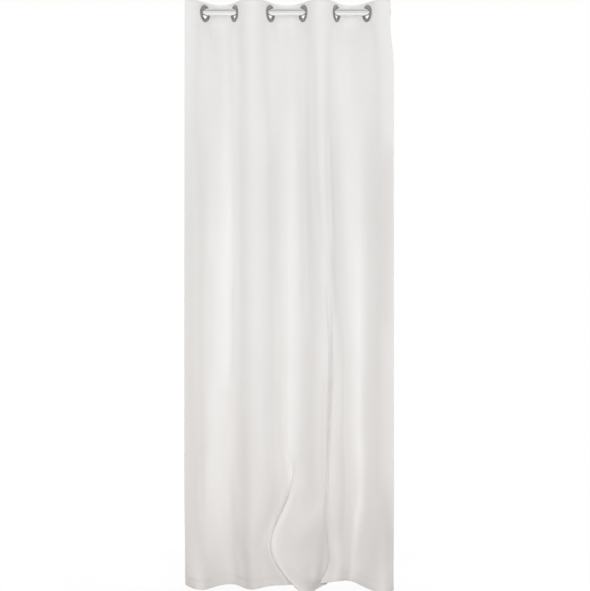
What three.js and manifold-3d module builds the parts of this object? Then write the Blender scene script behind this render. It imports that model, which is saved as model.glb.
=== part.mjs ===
// Eyelet curtain: one panel of off-white velvet hanging from a straight metal rod.
// Millimetres, +Z up. The origin is the middle of the rod's axis, +X runs along the rod to the
// viewer's right, and the curtain's face looks toward -Y.

import * as THREE from "three";
import { mergeVertices } from "three/addons/utils/BufferGeometryUtils.js";
import Module from "manifold-3d";

// ---------------------------------------------------------------- driving dimensions

const ROD_DIAMETER = 28;
const ROD_LENGTH = 792;
const ROD_SIDES = 48;

const CLOTH_WIDTH = 1170;
const CLOTH_THICKNESS = 2;
const TOP_EDGE = 38;
const HEM_LINE = -2242;

const EYELET_DIAMETER = 68;
const EYELET_BORE = 42;
const EYELET_DROP = 5.4;
const EYELET_SIDES = 24;
const BARREL_WALL = 2.2;
const CLOTH_HOLE_DIAMETER = 48;
const FRONT_RING_HEIGHT = 4.6;
const BACK_RING_HEIGHT = 2.4;
// The outer slope of each ring: its width, and the width of its lower, steeper half.
const SLOPE_WIDTH = 6.5;
const STEEP_WIDTH = 2;
// The front ring's inner edge: how far it is rounded across and down.
const LIP_WIDTH = 3;
const LIP_DROP = 2.8;
const FIT_GAP = 0.3;

// Half of the straight stretch of cloth that each eyelet grips, and the radius of the bends that
// turn the cloth outside the first and the last eyelet along the rod.
const HALF_FLAT = 37;
const SIDE_RADIUS = 52;

// Below this height the cloth leaves the shape of the heading, and over this distance it takes
// the shape of the folds.
const HEADING_END = -44;
const HEADING_EASE = 180;

// The longest step between two columns of the panel's mesh, and the shortest beside a column that
// lies on a fold. Folds closer together than a step times TIGHT_SPAN get one more column between.
const COLUMN_STEP = 14.5;
const LEAST_STEP = 4;
const TIGHT_SPAN = 1.9;

// Over this distance below the heading the columns come to follow the folds.
const FOLLOW_EASE = 846;

// How finely a section is measured along its length, and between which limits and in how many
// halvings its depth is scaled to hold the cloth's width.
const SECTION_STEPS = 900;
const DEPTH_SCALES = { least: 0.5, most: 1.6, halvings: 24 };

// Eyelets from left to right: where the centre lies along the rod, and the angle in degrees that
// the cloth there makes with the rod, positive where it runs back toward the wall.
const EYELETS = [
  { x: -330, turn: 60 },
  { x: -211.5, turn: -65 },
  { x: -75, turn: 62 },
  { x: 55.5, turn: -62 },
  { x: 182.5, turn: 65 },
  { x: 305, turn: -61 },
];

// Heights of the sections that shape the folds.
const LEVELS = [-120, -890, -1360, -1700, -1920, -2080, -2185, -2245];

// Folds from the left side edge to the right one. At each level, across is the place along the
// rod and depth the distance behind it; hem is how far the lower edge hangs below the hem line.
const FOLDS = [
  {
    name: "left edge",
    across: [-404, -404, -404, -404, -404, -404, -404, -404],
    depth: [-60, -62, -60, -54, -44, -32, -22, -6],
    hem: -11,
  },
  {
    name: "first crest",
    across: [-382, -372, -368, -364, -360, -354, -346, -340],
    depth: [-58, -36, -27, -24, -24, -24, -34, -42],
    hem: 1,
  },
  {
    name: "slope of the first trough",
    across: [-300, -308, -312, -318, -324, -316, -302, -294],
    depth: [42, 44, 43, 31, 12, -3, -10, -12],
    hem: -2,
  },
  {
    name: "first trough",
    across: [-250, -232, -236, -242, -242, -232, -220, -218],
    depth: [61, 60, 57, 50, 38, 28, 18, 14],
    hem: -7,
  },
  {
    name: "second crest",
    across: [-160, -161, -157, -153, -147, -142, -136, -134],
    depth: [-58, -56, -50, -42, -36, -38, -38, -34],
    hem: 1,
  },
  {
    name: "shoulder of the second crest",
    across: [-124, -102, -94, -87, -84, -104, -100, -98],
    depth: [-58, -56, -50, -41, -29, -29, -31, -29],
    hem: -7,
  },
  {
    name: "back of the flap",
    across: [-56, -54, -51, -48, -44, -76, -42, -6],
    depth: [30, 6, 2, -2, -1, -27, -34, -33],
    hem: -16,
  },
  {
    name: "tuck behind the flap",
    across: [-32, -27, -22, -16, 9, 6, 46, 57],
    depth: [53, 42, 36, 32, 11, -18, -22, -24],
    hem: -7,
  },
  {
    name: "bottom of the tuck",
    across: [-8, -4, 0, 3, 16, 14, 54, 65],
    depth: [60, 57, 53, 44, 5, -25, -29, -31],
    hem: -2,
  },
  {
    name: "underside of the flap",
    across: [4, 12, 14, 14, -11, -67, -12, 44],
    depth: [59, 57, 52, 41, -1, -34, -43, -44],
    hem: 1,
  },
  {
    name: "edge of the flap",
    across: [16, 26, 28, 25, -15, -71, -16, 41],
    depth: [54, 52, 46, 34, -7, -42, -50, -51],
    hem: 2,
  },
  {
    name: "front of the flap",
    across: [38, 48, 50, 43, 8, -44, 12, 66],
    depth: [32, 28, 25, 19, -13, -48, -54, -50],
    hem: 10,
  },
  {
    name: "lip of the crease",
    across: [84, 102, 140, 130, 122, 64, 80, 98],
    depth: [-44, -48, -50, -48, -42, -28, -22, -10],
    hem: 12,
  },
  {
    name: "wall of the crease",
    across: [96, 118, 152, 141, 134, 116, 118, 110],
    depth: [-53, -56, -46, -47, -42, -20, -3, 2],
    hem: 6,
  },
  {
    name: "left of the crease",
    across: [108, 131, 158, 145, 139, 144, 150, 130],
    depth: [-59, -60, -33, -40, -39, -18, 0, 5],
    hem: -4,
  },
  {
    name: "right of the crease",
    across: [122, 146, 162, 149, 146, 153, 163, 142],
    depth: [-61, -60, -33, -40, -37, -20, -5, 0],
    hem: -11,
  },
  {
    name: "edge of the third crest",
    across: [140, 162, 168, 153, 148, 149, 150, 116],
    depth: [-58, -50, -45, -47, -44, -33, -33, -31],
    hem: -21,
  },
  {
    name: "third crest",
    across: [158, 178, 188, 178, 171, 168, 168, 146],
    depth: [-38, -28, -42, -47, -47, -43, -41, -40],
    hem: -27,
  },
  {
    name: "slope of the third trough",
    across: [214, 226, 228, 228, 228, 214, 210, 204],
    depth: [46, 38, 20, 14, 2, -16, -24, -24],
    hem: -30,
  },
  {
    name: "third trough",
    across: [250, 264, 264, 266, 266, 248, 238, 230],
    depth: [60, 58, 53, 49, 42, 24, 12, 10],
    hem: -22,
  },
  {
    name: "fourth crest",
    across: [368, 356, 352, 350, 350, 356, 362, 366],
    depth: [-56, -44, -36, -32, -30, -34, -42, -48],
    hem: 9,
  },
  {
    name: "right edge",
    across: [404, 404, 404, 404, 404, 404, 404, 404],
    depth: [-60, -62, -60, -56, -50, -42, -36, -32],
    hem: 5,
  },
];

// Rows of the panel's mesh, from the top edge to the hem.
const ROWS = [
  TOP_EDGE, -4, HEADING_END, -80, -120, -165, -224, -420, -660, -900, -1140, -1360,
  -1540, -1700, -1820, -1920, -2000, -2060, -2115, -2165, -2205, HEM_LINE,
];

// ---------------------------------------------------------------- finishes

const VELVET = new THREE.MeshStandardMaterial({ color: 0xe6e2df, roughness: 0.95, metalness: 0 });
const NICKEL = new THREE.MeshStandardMaterial({ color: 0xb9bab9, roughness: 0.22, metalness: 1 });
const STEEL = new THREE.MeshStandardMaterial({ color: 0xd2d3d3, roughness: 0.28, metalness: 1 });

// ---------------------------------------------------------------- curves

const radians = THREE.MathUtils.degToRad;

// A natural cubic spline through values at increasing knots, returned as a function.
function cubicSpline(knots, values) {
  const last = knots.length - 1;
  const bend = new Array(last + 1).fill(0);
  const carry = new Array(last + 1).fill(0);
  for (let i = 1; i < last; i += 1) {
    const before = knots[i] - knots[i - 1];
    const after = knots[i + 1] - knots[i];
    const jump = (values[i + 1] - values[i]) / after - (values[i] - values[i - 1]) / before;
    const pivot = 2 * (before + after) - before * carry[i - 1];
    carry[i] = after / pivot;
    bend[i] = (6 * jump - before * bend[i - 1]) / pivot;
  }
  for (let i = last - 1; i > 0; i -= 1) bend[i] -= carry[i] * bend[i + 1];
  return (at) => {
    let i = 0;
    while (i < last - 1 && at > knots[i + 1]) i += 1;
    const span = knots[i + 1] - knots[i];
    const b = (at - knots[i]) / span;
    const a = 1 - b;
    const curve = ((a ** 3 - a) * bend[i] + (b ** 3 - b) * bend[i + 1]) * (span * span) / 6;
    return a * values[i] + b * values[i + 1] + curve;
  };
}

function smoothStep(t) {
  const u = THREE.MathUtils.clamp(t, 0, 1);
  return u * u * (3 - 2 * u);
}

// ---------------------------------------------------------------- heading

// The round bend between two eyelets a given distance apart. The flatter side runs straight for
// a little longer, so that both eyelets stay on the rod.
function bendBetween(distance, first, second) {
  const small = Math.min(first, second);
  const large = Math.max(first, second);
  const straight = HALF_FLAT * (Math.sin(large) / Math.tan(small) + Math.cos(large));
  const turned = (Math.cos(small) - Math.cos(large)) / Math.tan(small)
    + Math.sin(small) + Math.sin(large);
  const radius = (distance - straight) / turned;
  const rise = HALF_FLAT * Math.sin(large) + radius * (Math.cos(small) - Math.cos(large));
  const longer = rise / Math.sin(small);
  return {
    length: radius * (first + second),
    before: first <= second ? longer : HALF_FLAT,
    after: first <= second ? HALF_FLAT : longer,
  };
}

// Runs of the heading from the left edge: each has a length along the cloth and the direction at
// its start and end, measured from the rod.
function headingRuns() {
  const turns = EYELETS.map((eyelet) => radians(eyelet.turn));
  const runs = [];
  const marks = [];
  let before = HALF_FLAT;
  runs.push({ length: SIDE_RADIUS * Math.abs(turns[0]), start: 0, end: turns[0] });
  EYELETS.forEach((eyelet, i) => {
    const next = EYELETS[i + 1];
    const bend = next
      ? bendBetween(next.x - eyelet.x, Math.abs(turns[i]), Math.abs(turns[i + 1]))
      : { before: HALF_FLAT, after: 0 };
    marks.push(runs.length);
    runs.push({ length: before, start: turns[i], end: turns[i] });
    runs.push({ length: bend.before, start: turns[i], end: turns[i] });
    if (next) runs.push({ length: bend.length, start: turns[i], end: turns[i + 1] });
    before = bend.after;
  });
  const final = turns[turns.length - 1];
  runs.push({ length: SIDE_RADIUS * Math.abs(final), start: final, end: 0 });
  return { runs, marks };
}

// Where a run ends when it starts at a point and is followed for a distance.
function follow(run, point, distance) {
  const share = distance / run.length;
  const end = run.start + (run.end - run.start) * share;
  if (run.start === run.end) {
    const x = point.x + distance * Math.cos(run.start);
    return { x, y: point.y + distance * Math.sin(run.start), angle: end };
  }
  const radius = run.length / (run.end - run.start);
  return {
    x: point.x + radius * (Math.sin(end) - Math.sin(run.start)),
    y: point.y + radius * (Math.cos(run.start) - Math.cos(end)),
    angle: end,
  };
}

// Stops along a run of the heading: even steps, and the given places that lie inside it. An even
// step too close to such a place is left out.
function runStops(start, length, places) {
  const inside = places.filter((place) => place > start + LEAST_STEP
    && place < start + length - LEAST_STEP).map((place) => place - start);
  const steps = Math.ceil(length / COLUMN_STEP);
  const even = Array.from({ length: steps + 1 }, (_, k) => length * k / steps);
  const kept = even.filter((stop, k) => k === 0 || k === steps
    || inside.every((place) => Math.abs(place - stop) >= LEAST_STEP));
  return kept.concat(inside).sort((a, b) => a - b);
}

// Columns of the panel: the place along the cloth, and the heading's point and direction there.
// What the bends and straights leave of the cloth's width lies straight at the two sides.
function headingColumns(places) {
  const { runs, marks } = headingRuns();
  const used = runs.reduce((sum, run) => sum + run.length, 0);
  const reach = EYELETS[0].x - HALF_FLAT * Math.cos(radians(EYELETS[0].turn))
    - SIDE_RADIUS * Math.sin(radians(EYELETS[0].turn));
  const left = reach - FOLDS[0].across[0];
  runs.unshift({ length: left, start: 0, end: 0 });
  runs.push({ length: CLOTH_WIDTH - used - left, start: 0, end: 0 });
  const columns = [];
  let point = { x: 0, y: 0, angle: 0 };
  let along = 0;
  let anchor = null;
  runs.forEach((run, i) => {
    if (i === marks[0] + 2) anchor = { ...point };
    runStops(along, run.length, places).slice(columns.length ? 1 : 0).forEach((distance) => {
      columns.push({ along: along + distance, ...follow(run, point, distance) });
    });
    point = follow(run, point, run.length);
    along += run.length;
  });
  const shift = EYELETS[0].x - anchor.x;
  return columns.map((c) => ({ ...c, x: c.x + shift, y: c.y - anchor.y }));
}

// ---------------------------------------------------------------- folds

const foldPaths = FOLDS.map((fold) => {
  const heights = LEVELS.map((level) => -level);
  return { across: cubicSpline(heights, fold.across), depth: cubicSpline(heights, fold.depth) };
});

// The section of the folds at a height: an even strip led through the fold points, as a function
// of the share of the cloth's width. Its depth is scaled until it holds the full width.
function foldSection(height) {
  const drop = THREE.MathUtils.clamp(-height, -LEVELS[0], -LEVELS[LEVELS.length - 1]);
  const points = foldPaths.map((path) => ({ x: path.across(drop), y: path.depth(drop) }));
  const strip = (scale) => {
    const knots = [0];
    for (let i = 1; i < points.length; i += 1) {
      const dx = points[i].x - points[i - 1].x;
      const dy = (points[i].y - points[i - 1].y) * scale;
      knots.push(knots[i - 1] + Math.hypot(dx, dy));
    }
    const atX = cubicSpline(knots, points.map((p) => p.x));
    const atY = cubicSpline(knots, points.map((p) => p.y * scale));
    const end = knots[knots.length - 1];
    const samples = [];
    let length = 0;
    for (let i = 0; i <= SECTION_STEPS; i += 1) {
      const at = end * i / SECTION_STEPS;
      const sample = { x: atX(at), y: atY(at), knot: at };
      if (i) length += Math.hypot(sample.x - samples[i - 1].x, sample.y - samples[i - 1].y);
      samples.push({ ...sample, along: length });
    }
    return { samples, length, knots };
  };
  let low = DEPTH_SCALES.least;
  let high = DEPTH_SCALES.most;
  for (let i = 0; i < DEPTH_SCALES.halvings; i += 1) {
    const middle = (low + high) / 2;
    if (strip(middle).length < CLOTH_WIDTH) low = middle;
    else high = middle;
  }
  return strip(low);
}

// The point of a section at a distance along the cloth.
function pointAt(section, along) {
  const { samples, length } = section;
  const target = along / CLOTH_WIDTH * length;
  let i = 1;
  while (i < samples.length - 1 && samples[i].along < target) i += 1;
  const before = samples[i - 1];
  const after = samples[i];
  const share = (target - before.along) / (after.along - before.along);
  return {
    x: before.x + (after.x - before.x) * share,
    y: before.y + (after.y - before.y) * share,
  };
}

// Where each fold point of a section lies along the cloth.
function foldPlaces(section) {
  const { samples, length, knots } = section;
  const end = knots[knots.length - 1];
  return knots.map((knot) => {
    const at = knot / end * SECTION_STEPS;
    const i = Math.min(Math.floor(at), SECTION_STEPS - 1);
    const step = samples[i + 1].along - samples[i].along;
    return (samples[i].along + step * (at - i)) / length * CLOTH_WIDTH;
  });
}

// Where the folds lie along the cloth on average over the levels below the first one.
function meanPlaces() {
  const lower = LEVELS.slice(1).map((level) => foldPlaces(foldSection(level)));
  return FOLDS.map((fold, i) => lower.reduce((sum, places) => sum + places[i], 0) / lower.length);
}

// Carries a place between two folds of one list to the same share of the way in the other list.
function carried(place, from, to) {
  let i = 1;
  while (i < from.length - 1 && from[i] < place) i += 1;
  const share = (place - from[i - 1]) / (from[i] - from[i - 1]);
  return to[i - 1] + (to[i] - to[i - 1]) * share;
}

// How far the hem hangs below the hem line, along the cloth.
function hemDrops() {
  return cubicSpline(foldPlaces(foldSection(HEM_LINE)), FOLDS.map((fold) => fold.hem));
}

// ---------------------------------------------------------------- panel

// Places along the cloth that need a column: every fold, and the middle between close folds.
function columnPlaces(folds) {
  const middles = folds.slice(1).map((place, i) => (place + folds[i]) / 2)
    .filter((_, i) => folds[i + 1] - folds[i] < COLUMN_STEP * TIGHT_SPAN);
  return folds.slice(1, -1).concat(middles).sort((a, b) => a - b);
}

// The middle surface of the panel: one row of points for each height. In the heading a column
// stands at its own place along the cloth; below it the columns follow the folds.
function panelSurface(columns, even) {
  const hem = hemDrops();
  return ROWS.map((height) => {
    const share = smoothStep((HEADING_END - height) / HEADING_EASE);
    const followed = smoothStep((HEADING_END - height) / FOLLOW_EASE);
    const section = foldSection(height);
    const places = foldPlaces(section);
    const fall = Math.max(0, (HEADING_END - height) / (HEADING_END - HEM_LINE));
    return columns.map((column) => {
      const moved = carried(column.along, even, places) - column.along;
      const along = column.along + moved * followed;
      const fold = pointAt(section, along);
      return new THREE.Vector3(
        column.x + (fold.x - column.x) * share,
        column.y + (fold.y - column.y) * share,
        height - hem(along) * fall ** 3,
      );
    });
  });
}

// Normals of the middle surface toward the face of the curtain.
function panelNormals(surface, columns) {
  return surface.map((row, i) => row.map((point, j) => {
    if (ROWS[i] >= HEADING_END) {
      return new THREE.Vector3(Math.sin(columns[j].angle), -Math.cos(columns[j].angle), 0);
    }
    const across = new THREE.Vector3().subVectors(
      row[Math.min(j + 1, row.length - 1)],
      row[Math.max(j - 1, 0)],
    );
    const down = new THREE.Vector3().subVectors(
      surface[Math.min(i + 1, surface.length - 1)][j],
      surface[i - 1][j],
    );
    return down.cross(across).normalize();
  }));
}

// A closed sheet: the face and the back lie half a thickness from the middle surface, and a strip
// closes the four edges.
function panelGeometry() {
  const even = meanPlaces();
  const columns = headingColumns(columnPlaces(even));
  const surface = panelSurface(columns, even);
  const normals = panelNormals(surface, columns);
  const rows = surface.length;
  const width = columns.length;
  const positions = [];
  for (const side of [1, -1]) {
    surface.forEach((row, i) => row.forEach((point, j) => {
      const vertex = point.clone().addScaledVector(normals[i][j], side * CLOTH_THICKNESS / 2);
      positions.push(vertex.x, vertex.y, vertex.z);
    }));
  }
  const back = rows * width;
  const at = (i, j) => i * width + j;
  const faces = [];
  const quad = (a, b, c, d) => faces.push(a, b, c, a, c, d);
  for (let i = 0; i + 1 < rows; i += 1) {
    for (let j = 0; j + 1 < width; j += 1) {
      quad(at(i, j), at(i + 1, j), at(i + 1, j + 1), at(i, j + 1));
      quad(back + at(i, j), back + at(i, j + 1), back + at(i + 1, j + 1), back + at(i + 1, j));
    }
    quad(at(i, 0), back + at(i, 0), back + at(i + 1, 0), at(i + 1, 0));
    const j = width - 1;
    quad(at(i, j), at(i + 1, j), back + at(i + 1, j), back + at(i, j));
  }
  for (let j = 0; j + 1 < width; j += 1) {
    const i = rows - 1;
    quad(at(0, j), at(0, j + 1), back + at(0, j + 1), back + at(0, j));
    quad(at(i, j), back + at(i, j), back + at(i, j + 1), at(i, j + 1));
  }
  const geometry = new THREE.BufferGeometry();
  geometry.setAttribute("position", new THREE.Float32BufferAttribute(positions, 3));
  geometry.setIndex(faces);
  return geometry;
}

// ---------------------------------------------------------------- cutting

const wasm = await Module();
wasm.setup();

function solidOf(geometry) {
  const plain = geometry.clone();
  plain.deleteAttribute("normal");
  plain.deleteAttribute("uv");
  const merged = mergeVertices(plain, 1e-4);
  return new wasm.Manifold(new wasm.Mesh({
    numProp: 3,
    vertProperties: new Float32Array(merged.attributes.position.array),
    triVerts: new Uint32Array(merged.index.array),
  }));
}

function geometryOf(solid) {
  const mesh = solid.getMesh();
  const geometry = new THREE.BufferGeometry();
  geometry.setAttribute("position", new THREE.Float32BufferAttribute(mesh.vertProperties, 3));
  geometry.setIndex(new THREE.Uint32BufferAttribute(mesh.triVerts, 1));
  geometry.computeVertexNormals();
  return geometry;
}

// ---------------------------------------------------------------- eyelets

// The direction in which an eyelet's face looks.
function eyeletAxis(eyelet) {
  const turn = radians(eyelet.turn);
  return new THREE.Vector3(Math.sin(turn), -Math.cos(turn), 0);
}

function placeOnCloth(object, eyelet) {
  object.quaternion.setFromUnitVectors(new THREE.Vector3(0, 1, 0), eyeletAxis(eyelet));
  object.position.set(eyelet.x, 0, -EYELET_DROP);
  return object;
}

// A ring turned about its axis from a closed profile of radius and height over the cloth's
// middle, listed anticlockwise.
function turnedRing(profile) {
  const points = profile.map(([radius, height]) => new THREE.Vector2(radius, height));
  points.push(points[0].clone());
  return new THREE.LatheGeometry(points, EYELET_SIDES);
}

// The front ring: a domed flange on the cloth's face and the barrel that passes through it.
function frontRing() {
  const bore = EYELET_BORE / 2;
  const rim = EYELET_DIAMETER / 2;
  const barrel = bore + BARREL_WALL;
  const seat = CLOTH_THICKNESS / 2 + FIT_GAP;
  const crown = seat + FRONT_RING_HEIGHT;
  const foot = -(seat + BACK_RING_HEIGHT);
  return turnedRing([
    [bore, foot],
    [barrel, foot],
    [barrel, seat],
    [rim, seat],
    [rim - STEEP_WIDTH, (seat + crown) / 2],
    [rim - SLOPE_WIDTH, crown],
    [bore + LIP_WIDTH, crown],
    [bore, crown - LIP_DROP],
  ]);
}

// The back ring: a lower flange pressed over the end of the barrel.
function backRing() {
  const inner = EYELET_BORE / 2 + BARREL_WALL + FIT_GAP;
  const rim = EYELET_DIAMETER / 2;
  const seat = -(CLOTH_THICKNESS / 2 + FIT_GAP);
  const crown = seat - BACK_RING_HEIGHT;
  return turnedRing([
    [inner, crown],
    [rim - SLOPE_WIDTH, crown],
    [rim - STEEP_WIDTH, (seat + crown) / 2],
    [rim, seat],
    [inner, seat],
  ]);
}

function makeEyelets() {
  const rings = [];
  EYELETS.forEach((eyelet, i) => {
    const front = new THREE.Mesh(frontRing(), NICKEL);
    front.name = `eyelet_front_${i + 1}`;
    const back = new THREE.Mesh(backRing(), NICKEL);
    back.name = `eyelet_back_${i + 1}`;
    rings.push(placeOnCloth(front, eyelet), placeOnCloth(back, eyelet));
  });
  return rings;
}

// ---------------------------------------------------------------- parts

function makePanel() {
  const radius = CLOTH_HOLE_DIAMETER / 2;
  const reach = 6 * CLOTH_THICKNESS;
  let cloth = solidOf(panelGeometry());
  EYELETS.forEach((eyelet) => {
    const punch = new THREE.Mesh(new THREE.CylinderGeometry(radius, radius, reach, EYELET_SIDES));
    placeOnCloth(punch, eyelet).updateMatrix();
    cloth = cloth.subtract(solidOf(punch.geometry.applyMatrix4(punch.matrix)));
  });
  const panel = new THREE.Mesh(geometryOf(cloth), VELVET);
  panel.name = "panel";
  return panel;
}

function makeRod() {
  const radius = ROD_DIAMETER / 2;
  const rod = new THREE.Mesh(new THREE.CylinderGeometry(radius, radius, ROD_LENGTH, ROD_SIDES), STEEL);
  rod.rotation.z = Math.PI / 2;
  rod.name = "rod";
  return rod;
}

const group = new THREE.Group();
group.add(makeRod(), makePanel(), ...makeEyelets());

export default group;
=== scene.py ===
"""Velvet eyelet curtain on a rod: meshes, finishes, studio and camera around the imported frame.

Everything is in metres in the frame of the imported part: the origin is the middle of the rod's axis,
+X runs along the rod to the viewer's right, +Y points to the wall and +Z up. The rod takes its size
from the frame. The rings and the cloth repeat the sizes and the fold table of the part's source,
and the cloth adds the stitched hems and the nap.
"""

import logging
import math
from dataclasses import dataclass
from enum import Enum
from typing import Callable, Mapping, Sequence

import bpy
import numpy as np
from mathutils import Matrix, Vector


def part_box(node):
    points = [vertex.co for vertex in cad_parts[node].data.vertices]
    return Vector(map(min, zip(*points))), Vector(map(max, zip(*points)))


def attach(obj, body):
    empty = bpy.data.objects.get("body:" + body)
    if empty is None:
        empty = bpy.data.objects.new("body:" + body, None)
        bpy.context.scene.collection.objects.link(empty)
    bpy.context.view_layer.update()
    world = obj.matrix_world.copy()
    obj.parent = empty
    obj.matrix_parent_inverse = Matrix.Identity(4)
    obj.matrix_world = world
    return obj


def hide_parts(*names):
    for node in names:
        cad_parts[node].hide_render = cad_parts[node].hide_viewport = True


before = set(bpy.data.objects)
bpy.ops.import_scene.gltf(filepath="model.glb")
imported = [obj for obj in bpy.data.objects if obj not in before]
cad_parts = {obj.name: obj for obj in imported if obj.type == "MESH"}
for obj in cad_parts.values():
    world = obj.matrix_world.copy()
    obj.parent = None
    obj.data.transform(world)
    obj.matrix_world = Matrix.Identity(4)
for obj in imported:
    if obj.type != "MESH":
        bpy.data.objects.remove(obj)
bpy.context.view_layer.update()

Array = np.ndarray
Curve = Callable[[Array], Array]
Triple = tuple[float, float, float]

MM = 0.001
BODY = "root"
CLOTH_MAP = "cloth"
# Point attribute of painted light and shade on the cloth: 0 gives the velvet's shaded colour, 1 its
# lit colour.
PAINTED_LIGHT_ATTRIBUTE = "painted_light_and_shade"
EYELET_DROP = 5.4
EDGE_STEPS = np.array([0.0, 0.15, 0.5, 1.0, 2.0])

log = logging.getLogger("curtain")


# ---------- tables of the cloth


class Side(Enum):
    """The two sides of the cloth, with the sign of the way in which each looks."""

    FACE = 1.0
    REVERSE = -1.0


@dataclass(frozen=True)
class EyeletPlace:
    """Where an eyelet sits on the rod, x in millimetres.

    turn is the angle in degrees between the cloth there and the rod, positive where the cloth runs
    back toward the wall.
    """

    x: float
    turn: float


@dataclass(frozen=True)
class Fold:
    """One crest, trough, edge or tuck of the cloth, in millimetres.

    across and depth are its places along and behind the rod at each of LEVELS, and hem is how far
    the lower edge hangs below the hem line there.
    """

    name: str
    across: tuple[float, ...]
    depth: tuple[float, ...]
    hem: float


@dataclass(frozen=True)
class PaintedStripe:
    """A stripe of painted light or painted shade beside a fold.

    It follows its fold, offset along the cloth, and is a bell of the given width across it. It
    rises over the fade below its top height and ends over the fade above its foot. gain is added
    to the painted light and shade: a positive gain paints light, a negative one paints shade.
    """

    offset: float
    width: float
    top: float
    foot: float
    gain: float
    fade: float = 150.0


@dataclass(frozen=True)
class HemShadow:
    """Painted shadow along the hem's stitching, from one fold line across to another."""

    left: str
    right: str
    gain: float


EYELETS = (
    EyeletPlace(-330.0, 60.0),
    EyeletPlace(-211.5, -65.0),
    EyeletPlace(-75.0, 62.0),
    EyeletPlace(55.5, -62.0),
    EyeletPlace(182.5, 65.0),
    EyeletPlace(305.0, -61.0),
)

LEVELS = (-120, -890, -1360, -1700, -1920, -2080, -2185, -2245)

FOLDS = (
    Fold("left edge", (-404,) * 8,
         (-60, -62, -60, -54, -44, -32, -22, -6), -11),
    Fold("first crest", (-382, -372, -368, -364, -360, -354, -346, -340),
         (-58, -36, -27, -24, -24, -24, -34, -42), 1),
    Fold("slope of the first trough", (-300, -308, -312, -318, -324, -316, -302, -294),
         (42, 44, 43, 31, 12, -3, -10, -12), -2),
    Fold("first trough", (-250, -232, -236, -242, -242, -232, -220, -218),
         (61, 60, 57, 50, 38, 28, 18, 14), -7),
    Fold("second crest", (-160, -161, -157, -153, -147, -142, -136, -134),
         (-58, -56, -50, -42, -36, -38, -38, -34), 1),
    Fold("shoulder of the second crest", (-124, -102, -94, -87, -84, -104, -100, -98),
         (-58, -56, -50, -41, -29, -29, -31, -29), -7),
    Fold("back of the flap", (-56, -54, -51, -48, -44, -76, -42, -6),
         (30, 6, 2, -2, -1, -27, -34, -33), -16),
    Fold("tuck behind the flap", (-32, -27, -22, -16, 9, 6, 46, 57),
         (53, 42, 36, 32, 11, -18, -22, -24), -7),
    Fold("bottom of the tuck", (-8, -4, 0, 3, 16, 14, 54, 65),
         (60, 57, 53, 44, 5, -25, -29, -31), -2),
    Fold("underside of the flap", (4, 12, 14, 14, -11, -67, -12, 44),
         (59, 57, 52, 41, -1, -34, -43, -44), 1),
    Fold("edge of the flap", (16, 26, 28, 25, -15, -71, -16, 41),
         (54, 52, 46, 34, -7, -42, -50, -51), 2),
    Fold("front of the flap", (38, 48, 50, 43, 8, -44, 12, 66),
         (32, 28, 25, 19, -13, -48, -54, -50), 10),
    Fold("lip of the crease", (84, 102, 140, 130, 122, 64, 80, 98),
         (-44, -48, -50, -48, -42, -28, -22, -10), 12),
    Fold("wall of the crease", (96, 118, 152, 141, 134, 116, 118, 110),
         (-53, -56, -46, -47, -42, -20, -3, 2), 6),
    Fold("left of the crease", (108, 131, 158, 145, 139, 144, 150, 130),
         (-59, -60, -33, -40, -39, -18, 0, 5), -4),
    Fold("right of the crease", (122, 146, 162, 149, 146, 153, 163, 142),
         (-61, -60, -33, -40, -37, -20, -5, 0), -11),
    Fold("edge of the third crest", (140, 162, 168, 153, 148, 149, 150, 116),
         (-58, -50, -45, -47, -44, -33, -33, -31), -21),
    Fold("third crest", (158, 178, 188, 178, 171, 168, 168, 146),
         (-38, -28, -42, -47, -47, -43, -41, -40), -27),
    Fold("slope of the third trough", (214, 226, 228, 228, 228, 214, 210, 204),
         (46, 38, 20, 14, 2, -16, -24, -24), -30),
    Fold("third trough", (250, 264, 264, 266, 266, 248, 238, 230),
         (60, 58, 53, 49, 42, 24, 12, 10), -22),
    Fold("fourth crest", (368, 356, 352, 350, 350, 356, 362, 366),
         (-56, -44, -36, -32, -30, -34, -42, -48), 9),
    Fold("right edge", (404,) * 8,
         (-60, -62, -60, -56, -50, -42, -36, -32), 5),
)

# Painted light and shade beside the folds: a positive gain paints light, a negative one paints shade.
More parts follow.
